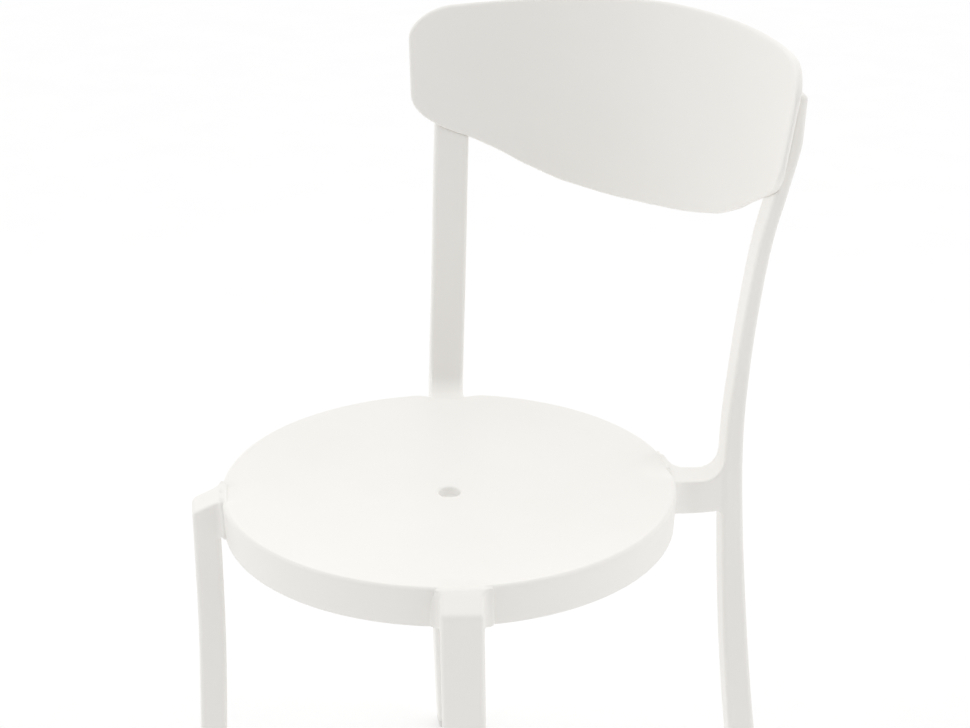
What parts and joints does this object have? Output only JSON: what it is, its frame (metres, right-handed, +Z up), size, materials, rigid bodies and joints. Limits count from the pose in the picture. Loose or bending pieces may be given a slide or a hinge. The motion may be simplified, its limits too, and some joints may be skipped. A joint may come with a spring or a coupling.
{
  "type": "stacking chair",
  "caption": "Stacking chair in moulded plastic with a round dished seat, legs on the seat's diagonals and a curved back panel held between two rear posts",
  "frame": {"origin": "on the floor, at the middle of the chair's outline", "axes": "+X is the sitter's left, -Y is the front, +Z is up"},
  "size_m": [0.4462, 0.5179, 0.843],
  "materials": {
    "shell": "satin",
    "frame": "satin",
    "panel": "satin",
    "glide": "matte",
    "pad": "matte",
    "insert": "plain",
    "screw": "zinc plated"
  },
  "bodies": {
    "root": {"seat_shell": "shell", "front_left_leg": "frame", "front_right_leg": "frame", "rear_left_post": "frame", "rear_right_post": "frame", "back_panel": "panel", "front_left_glide": "glide", "front_right_glide": "glide", "rear_left_glide": "glide", "rear_right_glide": "glide", "seat_inserts": "insert", "front_leg_screws": "screw", "rear_post_screws": "screw", "seat_washers": "screw", "back_inserts": "insert", "back_screws": "screw", "back_screw_caps": "frame", "stacking_pads": "pad"}
  },
  "joints": []
}
